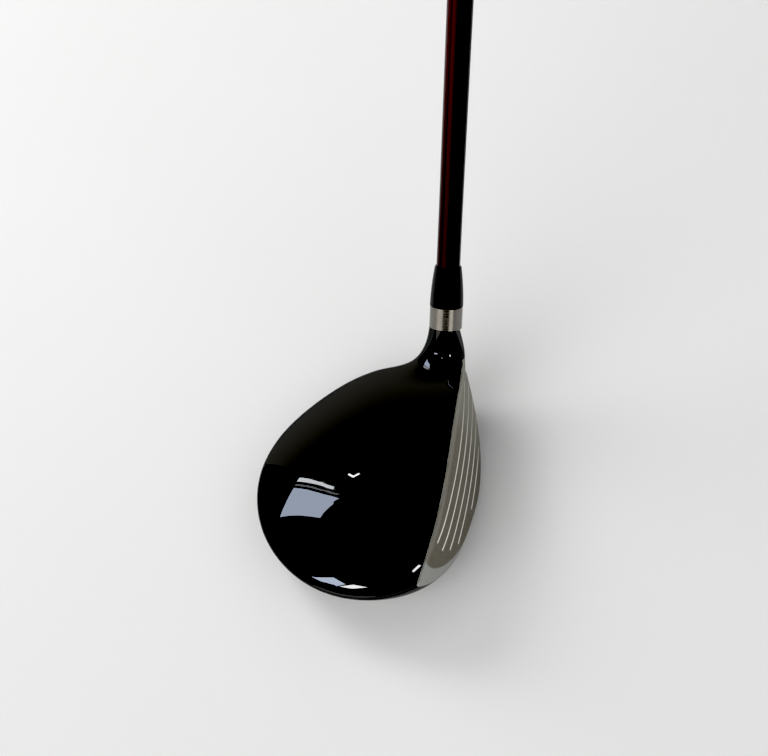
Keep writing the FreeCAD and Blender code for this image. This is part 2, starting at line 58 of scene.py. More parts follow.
# ---------------------------------------------------------------- what the frame says
MM = 0.001
NODES = frame["nodes"]
MOUNTS = {mount["name"]: mount for mount in frame["record"]["mounts"]}
SHAFT_AXIS = Vector(MOUNTS["grip_vent"]["axis"]).normalized()
VENT_POINT = Vector(MOUNTS["grip_vent"]["pos_m"])
VENT_RADIUS = MOUNTS["grip_vent"]["dims"]["r_mm"] * MM
# Where the shaft's axis meets the ground.
SHAFT_FOOT = VENT_POINT - SHAFT_AXIS * (VENT_POINT.z / SHAFT_AXIS.z)
FORWARD = Vector((1, 0, 0))
SIDEWAYS = SHAFT_AXIS.cross(FORWARD)


def along_and_radius(node):
    """Every vertex of a turned node as (distance along the shaft's axis, radius)."""
    pairs = []
    for vertex in NODES[node].data.vertices:
        offset = vertex.co - SHAFT_FOOT
        along = offset.dot(SHAFT_AXIS)
        pairs.append((along, (offset - SHAFT_AXIS * along).length))
    return pairs


def span(node):
    """First and last distance along the shaft's axis of a node."""
    alongs = [along for along, _ in along_and_radius(node)]
    return min(alongs), max(alongs)


EDGE_REACH = 0.0001       # near enough to belong to an end face
SIDE_REACH = 0.0015       # near enough to belong to the side next to a place


def radii_near(node, along, reach=0.0012):
    """Smallest and largest radius of a turned node near a distance along the axis."""
    radii = [radius for a, radius in along_and_radius(node) if abs(a - along) < reach]
    return min(radii), max(radii)


# ---------------------------------------------------------------- shader helpers
class Shader:
    """A small wrapper that makes node trees short to write."""

    def __init__(self, name):
        self.material = bpy.data.materials.new(name)
        self.material.use_nodes = True
        self.tree = self.material.node_tree
        self.tree.nodes.clear()
        self.output = self.add("OutputMaterial")
        self.surface = self.add("BsdfPrincipled")
        self.link(self.surface.outputs[0], self.output.inputs[0])

    def add(self, kind):
        return self.tree.nodes.new("ShaderNode" + kind)

    def link(self, source, target):
        self.tree.links.new(source, target)

    def put(self, socket, value):
        """Sets a socket to a number, a colour or another node's output."""
        if isinstance(value, bpy.types.NodeSocket):
            self.link(value, socket)
        elif isinstance(value, (tuple, list)) and len(value) == 3 and socket.type == "RGBA":
            socket.default_value = (*value, 1.0)
        else:
            socket.default_value = value

    def set(self, **values):
        for name, value in values.items():
            self.put(self.surface.inputs[name.replace("_", " ")], value)

    def coat(self, share, roughness, normal=None):
        """A clear glossy layer over the surface, which sends back this share of the light."""
        gloss = self.add("BsdfAnisotropic")
        gloss.inputs["Color"].default_value = (1, 1, 1, 1)
        self.put(gloss.inputs["Roughness"], roughness)
        if normal:
            self.put(gloss.inputs["Normal"], normal)
        mix = self.add("MixShader")
        self.put(mix.inputs[0], share)
        self.link(self.surface.outputs[0], mix.inputs[1])
        self.link(gloss.outputs[0], mix.inputs[2])
        self.link(mix.outputs[0], self.output.inputs[0])

    def math(self, operation, a, b=0.0, c=0.0):
        node = self.add("Math")
        node.operation = operation
        for socket, value in zip(node.inputs, (a, b, c)):
            self.put(socket, value)
        return node.outputs[0]

    def vector(self, operation, a, b=(0, 0, 0)):
        node = self.add("VectorMath")
        node.operation = operation
        self.put(node.inputs[0], a)
        self.put(node.inputs[1], b)
        gives_number = operation in ("DOT_PRODUCT", "LENGTH")
        return node.outputs["Value" if gives_number else "Vector"]

    def combine(self, x, y, z=0.0):
        node = self.add("CombineXYZ")
        for socket, value in zip(node.inputs, (x, y, z)):
            self.put(socket, value)
        return node.outputs[0]

    def separate(self, vector):
        node = self.add("SeparateXYZ")
        self.put(node.inputs[0], vector)
        return node.outputs

    def place(self):
        """The point being shaded, in the row's frame, in metres."""
        return self.add("TexCoord").outputs["Object"]

    def facing(self):
        """0 where the surface faces the eye, 1 where it is seen edge-on."""
        node = self.add("LayerWeight")
        node.inputs["Blend"].default_value = 0.5
        return node.outputs["Facing"]

    def shaft_place(self):
        """(distance along the shaft's axis, angle round it) of the point being shaded."""
        offset = self.vector("SUBTRACT", self.place(), SHAFT_FOOT)
        along = self.vector("DOT_PRODUCT", offset, SHAFT_AXIS)
        forward = self.vector("DOT_PRODUCT", offset, FORWARD)
        sideways = self.vector("DOT_PRODUCT", offset, SIDEWAYS)
        return along, self.math("ARCTAN2", sideways, forward)

    def noise(self, vector, scale, detail=3.0, roughness=0.5):
        node = self.add("TexNoise")
        self.put(node.inputs["Vector"], vector)
        node.inputs["Scale"].default_value = scale
        node.inputs["Detail"].default_value = detail
        node.inputs["Roughness"].default_value = roughness
        return node.outputs["Fac"]

    def cells(self, vector, scale):
        node = self.add("TexVoronoi")
        self.put(node.inputs["Vector"], vector)
        node.inputs["Scale"].default_value = scale
        return node.outputs["Distance"]

    def ramp(self, value, low, high, out_low=0.0, out_high=1.0):
        """A smooth step from out_low to out_high as value goes from low to high."""
        node = self.add("MapRange")
        node.interpolation_type = "SMOOTHSTEP"
        for name, v in (("Value", value), ("From Min", low), ("From Max", high),
                        ("To Min", out_low), ("To Max", out_high)):
            self.put(node.inputs[name], v)
        return node.outputs["Result"]

    def mix(self, share, a, b):
        """Colour a where share is 0, b where it is 1."""
        node = self.add("MixRGB")
        self.put(node.inputs["Fac"], share)
        self.put(node.inputs["Color1"], a)
        self.put(node.inputs["Color2"], b)
        return node.outputs["Color"]

    def bump(self, height, strength, distance):
        node = self.add("Bump")
        node.inputs["Strength"].default_value = strength
        node.inputs["Distance"].default_value = distance
        self.put(node.inputs["Height"], height)
        return node.outputs[0]

    def turned_lines(self, fineness):
        """Fine lines round the shaft's axis, as a lathe tool or a polishing belt leaves them."""
        along, angle = self.shaft_place()
        return self.noise(self.combine(self.math("MULTIPLY", along, fineness), angle), 1.0, 3.0)


# ---------------------------------------------------------------- materials of the head
COAT_SHARE = 0.042        # light that black lacquer sends back when seen from the front
COAT_EDGE = 0.35          # and how much more when seen edge-on
COAT_RISE = 9.0           # a high power keeps the rise close to the edge


def lacquer_share(s):
    """The share of light that the lacquer's gloss sends back, by how it is seen."""
    return s.math("MULTIPLY_ADD", s.math("POWER", s.facing(), COAT_RISE), COAT_EDGE, COAT_SHARE)


def crown_paint():
    """Deep black lacquer with a faint waviness and a trace of polishing haze."""
    s = Shader("crown_lacquer")
    place = s.place()
    wave = s.noise(place, 45.0, 1.0)
    haze = s.noise(place, 900.0, 4.0)
    s.set(Base_Color=s.mix(haze, (0.0008, 0.0008, 0.0008), (0.002, 0.002, 0.0018)), Roughness=0.6)
    s.set(Specular_IOR_Level=0.0)
    s.coat(lacquer_share(s), s.ramp(haze, 0.3, 0.8, 0.012, 0.03), s.bump(wave, 0.008, 0.0004))
    return s.material


def sole_steel():
    """Steel brushed from front to back, a little duller where it rubs the turf."""
    s = Shader("sole_steel")
    place = s.place()
    x, y, z = s.separate(place)
    stretched = s.combine(s.math("MULTIPLY", x, 60.0), s.math("MULTIPLY", y, 4200.0), z)
    lines = s.noise(stretched, 1.0, 3.0)
    rubbed = s.ramp(z, 0.0, 0.003, 1.0, 0.0)
    color = s.mix(rubbed, (0.46, 0.46, 0.45), (0.36, 0.36, 0.35))
    s.set(Base_Color=color, Metallic=1.0, Roughness=s.ramp(lines, 0.3, 0.7, 0.26, 0.4))
    s.set(Normal=s.bump(lines, 0.25, 0.00006))
    return s.material


def top_edge(node, slices=40):
    """The height of a node's upper edge as a cubic in y, fitted to its highest points.

    The slices at both ends are left out, because the edge turns down there."""
    places = np.array([vertex.co for vertex in NODES[node].data.vertices], dtype=float)
    low, high = places[:, 1].min(), places[:, 1].max()
    steps = np.linspace(low, high, slices + 1)[2:-2]
    highest = []
    for start, end in zip(steps, steps[1:]):
        inside = places[(places[:, 1] >= start) & (places[:, 1] < end)]
        highest.append(inside[inside[:, 2].argmax()])
    highest = np.array(highest)
    return np.polyfit(highest[:, 1], highest[:, 2], 3)


def face_steel():
    """Blasted steel with a lighter band under the top edge, partly bare metal and partly a painted
    highlight, and a painted reflection that makes it lighter towards the heel. The toe's corner is left
    satin, outside a curve.
    """
    # The border is at y = border_end above the height border_top, and bends away below it.
    border_end, border_top, border_curve = -0.048, 0.0275, 66.0
    s = Shader("face_steel")
    place = s.place()
    x, y, z = s.separate(place)
    drop = s.math("MINIMUM", s.math("SUBTRACT", z, border_top), 0.0)
    border = s.math("MULTIPLY_ADD", s.math("MULTIPLY", drop, drop), border_curve, border_end)
    blasted = s.ramp(s.math("SUBTRACT", y, border), -0.0004, 0.0004)
    grain = s.noise(place, 2200.0, 4.0, 0.65)
    blotch = s.noise(place, 120.0, 3.0)
    stretched = s.combine(s.math("MULTIPLY", x, 300.0), s.math("MULTIPLY", z, 5200.0), y)
    lines = s.noise(stretched, 1.0, 2.0)
    rough = s.mix(blotch, (0.150, 0.137, 0.108), (0.185, 0.172, 0.140))
    speckled = s.mix(s.ramp(grain, 0.35, 0.7), rough, (0.255, 0.240, 0.200))
    # Painted reflection: lighter towards the heel; the middle and the toe stay darker, like the shaded
    # floor they reflect.
    speckled = s.mix(s.ramp(y, 0.006, 0.026), speckled, (0.27, 0.265, 0.225))
    satin = s.mix(lines, (0.34, 0.34, 0.325), (0.42, 0.42, 0.40))
    edge_height = 0.0
    for factor in top_edge("face_plate"):
        edge_height = s.math("MULTIPLY_ADD", edge_height, y, float(factor))
    under_edge = s.math("SUBTRACT", edge_height, z)
    color = s.mix(blasted, satin, speckled)
    # A lighter band under the top edge: partly bare metal, partly a painted highlight.
    color = s.mix(s.ramp(under_edge, 0.0006, 0.0028, 0.45, 0.0), color, (0.42, 0.41, 0.37))
    height = s.mix(blasted, lines, grain)
    s.set(Base_Color=color, Metallic=1.0, Normal=s.bump(height, 0.3, 0.00015))
    s.set(Roughness=s.ramp(blasted, 0.0, 1.0, 0.36, 0.52))
    return s.material


def line_paint():
    """Cream paint filling, uneven in tone and darker towards the heel."""
    s = Shader("line_paint")
    place = s.place()
    grain = s.noise(place, 2500.0, 3.0)
    clean = s.mix(grain, (0.92, 0.89, 0.78), (1.0, 0.99, 0.92))
    # Darker towards the heel.
    tone_shift = s.ramp(s.separate(place)[1], 0.004, 0.030, 0.0, 0.75)
    s.set(Base_Color=s.mix(tone_shift, clean, (0.30, 0.29, 0.24)), Roughness=0.55)
    s.set(Normal=s.bump(grain, 0.2, 0.00005))
    return s.material


def mark_paint():
    """White paint with a faint grain."""
    s = Shader("mark_paint")
    grain = s.noise(s.place(), 3000.0, 2.0)
    s.set(Base_Color=s.mix(grain, (0.84, 0.85, 0.86), (0.95, 0.95, 0.95)), Roughness=0.35)
    return s.material


def weight_steel():
    """A turned plug, with fine rings round its own middle."""
    low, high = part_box("sole_weight")
    centre = [(a + b) / 2 for a, b in zip(low, high)]
    s = Shader("weight_steel")
    x, y, z = s.separate(s.vector("SUBTRACT", s.place(), centre))
    radius = s.vector("LENGTH", s.combine(x, y))
    rings = s.noise(s.combine(s.math("MULTIPLY", radius, 6000.0), z), 1.0, 2.0)
    s.set(Base_Color=s.mix(rings, (0.3, 0.3, 0.31), (0.42, 0.42, 0.42)), Metallic=1.0, Roughness=0.3)
    s.set(Normal=s.bump(rings, 0.3, 0.00005))
    return s.material


def tuning_gel():
    """Amber tacky gel with small bubbles."""
    s = Shader("tuning_gel")
    bubbles = s.ramp(s.cells(s.place(), 500.0), 0.05, 0.2)
    s.set(Base_Color=s.mix(bubbles, (0.75, 0.6, 0.3), (0.5, 0.33, 0.08)), Roughness=0.12)
    s.set(Subsurface_Weight=0.4, Subsurface_Radius=(0.004, 0.003, 0.001))
    s.set(Normal=s.bump(bubbles, 0.2, 0.0002))
    return s.material


# ---------------------------------------------------------------- materials on the shaft
def ring_metal():
    """Plain metal trim with the fine lines of a polishing belt, a little warm and worn."""
    s = Shader("ring_metal")
    lines = s.turned_lines(7000.0)
    blotch = s.noise(s.place(), 350.0, 3.0)
    color = s.mix(blotch, (0.19, 0.174, 0.158), (0.24, 0.226, 0.208))
    s.set(Base_Color=color, Metallic=1.0, Roughness=s.ramp(lines, 0.3, 0.7, 0.14, 0.28))
    s.set(Normal=s.bump(lines, 0.2, 0.00005))
    return s.material


def ferrule_plastic():
    """Satin black plastic with faint turning marks."""
    s = Shader("ferrule_plastic")
    lines = s.turned_lines(5000.0)
    s.set(Base_Color=s.mix(lines, (0.001, 0.001, 0.001), (0.004, 0.004, 0.004)), Roughness=0.4)
    s.set(Specular_IOR_Level=0.25, Normal=s.bump(lines, 0.08, 0.00004))
    return s.material


RED_SHEEN_SIDE = math.radians(140)       # puts the painted red sheen on the side away from the target, where the light falls
SHEEN_DEEP_UNTIL = 0.07                  # the painted red sheen brightens between these distances along the axis, away from the tip
SHEEN_BRIGHT_FROM = 0.185


def shaft_paint():
    """Dark candy red lacquer. Its red is a painted sheen on the side away from the target, where the
    light falls, and the painted sheen darkens towards the tip; the target's side is black.
    """
    s = Shader("shaft_lacquer")
    along, angle = s.shaft_place()
    # Painted sheen: the red is put only on the side where the light falls.
    sheen_facing = s.math("COSINE", s.math("ADD", angle, RED_SHEEN_SIDE))
    red_sheen = s.ramp(sheen_facing, -0.1, 0.75)
    flakes = s.cells(s.place(), 9000.0)
    deep_sheen = s.mix(s.ramp(flakes, 0.1, 0.6), (0.030, 0.0035, 0.0035), (0.022, 0.0028, 0.0028))
    bright_sheen = s.mix(s.ramp(flakes, 0.1, 0.6), (0.070, 0.0068, 0.0070), (0.050, 0.0050, 0.0050))
    # The painted sheen is deeper near the tip and brighter further up.
    candy_sheen = s.mix(s.ramp(along, SHEEN_DEEP_UNTIL, SHEEN_BRIGHT_FROM), deep_sheen, bright_sheen)
    s.set(Base_Color=s.mix(red_sheen, (0.002, 0.001, 0.001), candy_sheen), Metallic=1.0)
    s.set(Roughness=s.ramp(flakes, 0.1, 0.6, 0.22, 0.34))
    s.coat(0.008, 0.05)
    return s.material


def shaft_bond():
    """Cloudy cream epoxy."""
    s = Shader("shaft_bond")
    cloud = s.noise(s.place(), 800.0, 3.0)
    s.set(Base_Color=s.mix(cloud, (0.55, 0.5, 0.36), (0.68, 0.64, 0.5)), Roughness=0.35)
    return s.material


def tip_plug():
    """Turned brass."""
    s = Shader("plug_brass")
    lines = s.turned_lines(4000.0)
    s.set(Base_Color=s.mix(lines, (0.72, 0.5, 0.2), (0.8, 0.6, 0.28)), Metallic=1.0, Roughness=0.3)
    s.set(Normal=s.bump(lines, 0.3, 0.00005))
    return s.material


def grip_tape():
    """Paper tape with a fine crossed weave."""
    s = Shader("grip_tape")
    along, angle = s.shaft_place()
    one = s.math("SINE", s.math("MULTIPLY", along, 9000.0))
    other = s.math("SINE", s.math("MULTIPLY", angle, 75.0))
    weave = s.ramp(s.math("MULTIPLY", one, other), -1.0, 1.0)
    s.set(Base_Color=s.mix(weave, (0.55, 0.5, 0.38), (0.72, 0.68, 0.55)), Roughness=0.85)
    s.set(Normal=s.bump(weave, 0.4, 0.0001))
    return s.material


def rubber(name, shine):
    """Matt black rubber with a fine grain, slightly greyed in soft random patches."""
    s = Shader(name)
    place = s.place()
    grain = s.noise(place, 3500.0, 4.0, 0.6)
    tone_shift = s.noise(place, 60.0, 3.0)
    s.set(Base_Color=s.mix(tone_shift, (0.010, 0.010, 0.010), (0.022, 0.022, 0.021)))
    s.set(Roughness=s.ramp(grain, 0.3, 0.7, shine, shine + 0.15), Normal=s.bump(grain, 0.35, 0.00012))
    s.set(Specular_IOR_Level=0.35)
    return s.material


LOOKS = {
    "sole_shell": sole_steel,
    "face_plate": face_steel,
    "score_line_paint": line_paint,
    "alignment_mark": mark_paint,
    "sole_weight": weight_steel,
    "tuning_gel": tuning_gel,
    "hosel_ring": ring_metal,
    "ferrule": ferrule_plastic,
    "shaft_bond": shaft_bond,
    "shaft": shaft_paint,
    "tip_plug": tip_plug,
    "grip_tape": grip_tape,
}


def dress_nodes():
    """Gives every CAD node that stays visible its material."""
    for node, look in LOOKS.items():
        material = look()
        for slot in NODES[node].material_slots:
            slot.material = material


# ---------------------------------------------------------------- pieces
def add_piece(name, mesh, material, node):
    """Adds a mesh to the scene, on the club's body, in place of one CAD node."""
    mesh.materials.clear()
    mesh.materials.append(material)
    piece = bpy.data.objects.new(name, mesh)
    bpy.context.scene.collection.objects.link(piece)
    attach(piece, "root")
    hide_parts(node)


def two_rings(mesh):
    """For every vertex, the vertices up to two edges away."""
    near = [set() for _ in mesh.vertices]
    for edge in mesh.edges:
        a, b = edge.vertices
        near[a].add(b)
        near[b].add(a)
    wide = []
    for index, ring in enumerate(near):
        wide.append(set().union(ring, *(near[v] for v in ring)) - {index})
    return wide


STEEP = 0.9               # a normal nearer to upright than this gets +X as its helper
STEADY_SLOPE = 1e-9       # both keep the fit steady where neighbours lie in a line
STEADY_CURVE = 1e-4


def fitted_normal(centre, normal, others):
    """The normal at centre of a small curved patch fitted through its neighbours."""
    helper = (0.0, 0.0, 1.0) if abs(normal[2]) < STEEP else (1.0, 0.0, 0.0)
    side = np.cross(normal, helper)
    side /= np.linalg.norm(side)
    other_side = np.cross(normal, side)
    offsets = others - centre
    reach = np.abs(offsets).max()
    u, v, height = (offsets @ axis / reach for axis in (side, other_side, normal))
    patch = np.stack([u, v, u * u, u * v, v * v], axis=1)
    steady = np.diag([STEADY_SLOPE] * 2 + [STEADY_CURVE] * 3)
    slopes = np.linalg.solve(patch.T @ patch + steady, patch.T @ height)
    fine = normal - slopes[0] * side - slopes[1] * other_side
    return fine / np.linalg.norm(fine)


FOLD = 0.6                # neighbours that face further apart than this lie over an edge
FEWEST_NEIGHBOURS = 8     # a patch is fitted only through at least so many


def head_body():
    """The shell, shaded with the even, unbroken reflections of a polished surface."""
    mesh = NODES["head_shell"].data.copy()
    mesh.name = "head_body"
    points = np.array([vertex.co for vertex in mesh.vertices], dtype=float)
    normals = np.array([vertex.normal for vertex in mesh.vertices], dtype=float)
    fine = []
    for index, ring in enumerate(two_rings(mesh)):
        ring = [other for other in ring if normals[other] @ normals[index] > FOLD]
        if len(ring) < FEWEST_NEIGHBOURS:
            fine.append(normals[index])
        else:
            fine.append(fitted_normal(points[index], normals[index], points[ring]))
    mesh.normals_split_custom_set_from_vertices(fine)
    add_piece("head_body", mesh, crown_paint(), "head_shell")


SHARP_ANGLE = math.radians(50)


def turned_mesh(name, profile, segments, depth):
    """A closed surface turned about the shaft's axis.

    profile is a closed loop of (radius, along). depth(angle, along, radius) says how far
    a point of it is pressed inwards."""
    build = bmesh.new()
    rows = []
    for radius, along in profile:
        row = []
        for k in range(segments):
            angle = 2 * math.pi * k / segments
            out = FORWARD * math.cos(angle) + SIDEWAYS * math.sin(angle)
            reach = radius - depth(angle, along, radius)
            row.append(build.verts.new(SHAFT_FOOT + SHAFT_AXIS * along + out * reach))
        rows.append(row)
    for before, after in zip(rows, rows[1:] + rows[:1]):
        for k in range(segments):
            beside = (k + 1) % segments
            build.faces.new((before[k], before[beside], after[beside], after[k]))
    bmesh.ops.recalc_face_normals(build, faces=build.faces)
    for face in build.faces:
        face.smooth = True
    mesh = bpy.data.meshes.new(name)
    build.to_mesh(mesh)
    build.free()
    mesh.set_sharp_from_angle(angle=SHARP_ANGLE)
    return mesh


def smooth_step(low, high, value):
    """0 below low, 1 above high, and a smooth rise between them."""
    share = min(max((value - low) / (high - low), 0.0), 1.0)
    return share * share * (3 - 2 * share)


def arc(centre, radius, first, last, steps=6):
    """Points (radius, along) of a rounded edge, between two angles in degrees."""
    turns = [math.radians(first + (last - first) * k / steps) for k in range(steps + 1)]
    return [(centre[0] + radius * math.cos(t), centre[1] + radius * math.sin(t)) for t in turns]


GROOVE_DEPTH = 0.00050
GROOVE_HALF_WIDTH = 0.00085
GROOVE_FLOOR = 0.25          # share of the half width that is flat at the bottom
GROOVE_PITCH = 0.0088        # between crossing grooves, along the grip
GROOVE_STARTS = 7            # grooves side by side round the grip
GROOVE_CELLS = 20            # mesh cells from groove to groove, along and round
MOUTH_BAND = 0.016           # plain bands at the mouth and under the cap
CAP_BAND = 0.024
BAND_RINGS = 3
BAND_RING_PITCH = 0.0031


def groove(distance):
    """1 in the middle of a groove, 0 outside it."""
    return 1.0 - smooth_step(GROOVE_HALF_WIDTH * GROOVE_FLOOR, GROOVE_HALF_WIDTH, abs(distance))


def nearest(value, pitch):
    """Signed distance from value to the nearest multiple of pitch."""
    return value - pitch * round(value / pitch)


def grip_sleeve():
    """The rubber sleeve: crossing spiral grooves between two plain, ringed bands."""
    start, end = span("grip_sleeve")
    lip, mouth = radii_near("grip_sleeve", start)
    bore, butt = radii_near("grip_sleeve", end)
    tape_start = span("grip_tape")[0]
    lip_round = mouth - radii_near("grip_sleeve", start, EDGE_REACH)[1]
    cell = GROOVE_PITCH / GROOVE_CELLS
    rows = round((end - start - 2 * lip_round) / cell)
    outside = []
    for k in range(rows + 1):
        share = k / rows
        along = start + lip_round + (end - start - 2 * lip_round) * share
        outside.append((mouth + (butt - mouth) * share, along))
    profile = [(lip, start)] + arc((mouth - lip_round, start + lip_round), lip_round, -90, -15)
    profile += outside + [(butt, end), (bore, end), (bore, tape_start), (lip, tape_start)]

    def depth(angle, along, radius):
        if radius < (lip + mouth) / 2:
            return 0.0
        from_mouth, from_cap = along - start, end - along
        turn = angle / (2 * math.pi) * GROOVE_STARTS * GROOVE_PITCH
        spirals = max(groove(nearest(from_mouth + turn, GROOVE_PITCH)),
                      groove(nearest(from_mouth - turn, GROOVE_PITCH)))
        spirals *= smooth_step(0, 2 * GROOVE_HALF_WIDTH, from_mouth - MOUTH_BAND)
        spirals *= smooth_step(0, 2 * GROOVE_HALF_WIDTH, from_cap - CAP_BAND)
        ring_places = [MOUTH_BAND - BAND_RING_PITCH * (k + 0.5) for k in range(BAND_RINGS)]
        rings = max(groove(from_mouth - place) for place in ring_places)
        cap_rings = max(groove(from_cap - place - (CAP_BAND - MOUTH_BAND)) for place in ring_places)
        return GROOVE_DEPTH * max(spirals, rings, cap_rings)

    mesh = turned_mesh("grip_sleeve_moulded", profile, GROOVE_STARTS * GROOVE_CELLS, depth)
    add_piece("grip_sleeve_moulded", mesh, rubber("grip_rubber", 0.62), "grip_sleeve")


FLUTES = 24
FLUTE_DEPTH = 0.00035
FLUTE_START = 0.0010         # lengths over which the flutes fade in and out
FLUTE_END = 0.0008
FLUTE_CELLS = 8              # mesh cells round each flute
SIDE_STEPS = 10              # mesh cells along the cap's side
CAP_EDGE = 0.0016            # rounding of the cap's end
# Inner radius, outer radius and depth of the ring on the cap's end.
CAP_GROOVE = (0.0072, 0.0084, 0.0004)
VENT_EDGE = 0.0003


def grip_cap():
    """The butt cap: a fluted rim, a rounded end with one ring, and the vent in its middle."""
    start, end = span("grip_cap")
    bore, base = radii_near("grip_cap", start, EDGE_REACH)
    seat = span("shaft")[1]
    side = radii_near("grip_cap", (seat + end) / 2, SIDE_REACH)[1]
    flare = start + 2 * (side - base)
    inner, outer, sink = CAP_GROOVE
    profile = [(bore, start), (base, start)]
    profile += arc((side - CAP_EDGE, flare + CAP_EDGE / 2), CAP_EDGE, -25, 0, 3)
    top = end - CAP_EDGE
    low = flare + CAP_EDGE / 2
    profile += [(side, low + (top - low) * k / SIDE_STEPS) for k in range(1, SIDE_STEPS)]
    profile += arc((side - CAP_EDGE, top), CAP_EDGE, 0, 90)
    profile += [(outer, end), (outer - sink / 2, end - sink)]
    profile += [(inner + sink / 2, end - sink), (inner, end)]
    profile += [(VENT_RADIUS + VENT_EDGE, end), (VENT_RADIUS, end - VENT_EDGE)]
    profile += [(VENT_RADIUS, seat), (bore, seat)]

    def depth(angle, along, radius):
        if radius < side - CAP_EDGE / 2:
            return 0.0
        hollow = max(0.0, math.cos(FLUTES * angle)) ** 2
        hollow *= smooth_step(low, low + FLUTE_START, along)
        return FLUTE_DEPTH * hollow * smooth_step(0, FLUTE_END, top - along)

    mesh = turned_mesh("grip_cap_moulded", profile, FLUTES * FLUTE_CELLS, depth)
    add_piece("grip_cap_moulded", mesh, rubber("cap_rubber", 0.45), "grip_cap")


# ---------------------------------------------------------------- floor, lights, camera
HEAD = Vector((-0.02, -0.01, 0.025))     # lights and windows are placed round this point
WINDOW_DISTANCE = 2.5                    # metres
WALL_DISTANCE = 4.0
DAYLIGHT = (0.72, 0.81, 1.0)
WINDOWLIGHT = (0.92, 0.96, 1.0)
LAMPLIGHT = (1.0, 1.0, 1.0)
WALL_WHITE = (1.0, 0.98, 0.92)


def direction(bearing, elevation):
    """A unit vector. The bearing turns from +X towards +Y."""
    b, e = math.radians(bearing), math.radians(elevation)
    return Vector((math.cos(b) * math.cos(e), math.sin(b) * math.cos(e), math.sin(e)))


def plane_object(name, corners, material):
    """A four-cornered plane that belongs to the stage, not to the club."""
    mesh = bpy.data.meshes.new(name)
    mesh.from_pydata(corners, [], [(0, 1, 2, 3)])
    mesh.materials.append(material)
    plane = bpy.data.objects.new(name, mesh)
    bpy.context.scene.collection.objects.link(plane)
    return plane


def glow_material(name, color, strength, top_strength):
    """An even glow, which changes to top_strength with height."""
    s = Shader(name)
    glow = s.add("Emission")
    glow.inputs["Color"].default_value = (*color, 1)
    height = s.separate(s.place())[2]
    s.put(glow.inputs["Strength"], s.ramp(height, 0.0, WALL_DISTANCE / 2, strength, top_strength))
    s.link(glow.outputs[0], s.output.inputs[0])
    s.tree.nodes.remove(s.surface)
    s.material.cycles.emission_sampling = "NONE"
    return s.material


def pane(name, corners, color, strength, top_strength=None, distance=WINDOW_DISTANCE):
    """A bright window or wall, seen only in reflections. Corners are (bearing, elevation)."""
    if top_strength is None:
        top_strength = strength
    material = glow_material(name, color, strength, top_strength)
    places = [HEAD + direction(*corner) * distance for corner in corners]
    plane = plane_object(name, places, material)
    plane.visible_camera = False
    plane.visible_diffuse = False
    plane.visible_shadow = False
    plane.visible_transmission = False


def wall(name, first, last, low, high, strength, top_strength=None):
    """A pale wall between two bearings and two elevations, in degrees."""
    corners = [(first, low), (last, low), (last, high), (first, high)]
    pane(name, corners, WALL_WHITE, strength, top_strength, WALL_DISTANCE)


def windows():
    """What the glossy paint and the metal reflect: windows, lamps and pale walls."""
    pane("window_upper", [(140.2, 31.5), (135.0, 41.6), (136.4, 41.8), (142.2, 31.3)], WINDOWLIGHT, 14.0)
    pane("window_bar", [(143.2, 31.5), (136.9, 43.4), (137.7, 43.4), (144.1, 31.5)], WINDOWLIGHT, 3.0)
    pane("window_lower", [(145.0, 31.5), (138.6, 44.3), (152.6, 43.9), (159.2, 29.2)], DAYLIGHT, 10.0)
    pane("window_left", [(-171, 38), (-169, 46), (-163, 48.3), (-163, 44.8)], DAYLIGHT, 14.0)
    pane("lamp_left", [(-162.5, 46), (-161.5, 50.5), (-156.5, 54), (-159, 49)], LAMPLIGHT, 20.0)
    pane("lamp_above", [(-157, 71.5), (-165, 75), (-162, 76.3), (-154, 72)], LAMPLIGHT, 20.0)
    pane("lamp_front", [(-22, 66), (-2, 66), (-2, 72), (-22, 72)], LAMPLIGHT, 20.0)
    wall("wall_left", -150, -107, -2, 18, 1.6)
    wall("wall_right", -62, -35, -2, 14, 2.2)
    wall("wall_back", 139, 80, -2, 50, 1.0, 0.6)


def softbox(name, bearing, elevation, distance, size, power):
    """A soft light for the floor and the matt parts, left out of reflections."""
    light = bpy.data.lights.new(name, "AREA")
    light.shape = "SQUARE"
    light.size = size
    light.energy = power
    box = bpy.data.objects.new(name, light)
    bpy.context.scene.collection.objects.link(box)
    away = direction(bearing, elevation)
    box.rotation_mode = "QUATERNION"
    box.rotation_quaternion = away.to_track_quat("Z", "Y")
    box.location = HEAD + away * distance
    box.visible_camera = False
    box.visible_glossy = False


def lights():
    """Daylight from behind the club on the heel's side, and a weaker light from the rear."""
    softbox("window_far", 147, 28, 1.8, 1.0, 10.8)
    softbox("window_near", 147, 38, 1.2, 0.5, 2.8)
    softbox("ceiling_left", -167, 57, 1.8, 1.0, 4.0)


FLOOR_HALF = 12.0


def floor():
    """A plain white table top with a very faint unevenness."""
    s = Shader("floor_white")
    place = s.place()
    cloud = s.noise(place, 6.0, 3.0)
    grain = s.noise(place, 900.0, 3.0)
    s.set(Base_Color=s.mix(cloud, (0.80, 0.80, 0.785), (0.84, 0.84, 0.83)), Roughness=0.7)
    s.set(Specular_IOR_Level=0.2, Normal=s.bump(grain, 0.05, 0.0002))
    turns = ((-1, -1), (1, -1), (1, 1), (-1, 1))
    corners = [(FLOOR_HALF * x, FLOOR_HALF * y, 0) for x, y in turns]
    plane_object("floor", corners, s.material)


class Sky(Shader):
    """The same node helpers, working on a world."""

    def __init__(self, studio):
        self.tree = studio.node_tree
        self.tree.nodes.clear()

    def background(self, color, strength):
        node = self.add("Background")
        self.put(node.inputs["Color"], color)
        self.put(node.inputs["Strength"], strength)
        return node


FILL_COLOR = (0.98, 0.985, 1.0)
FILL_STRENGTH = 0.20
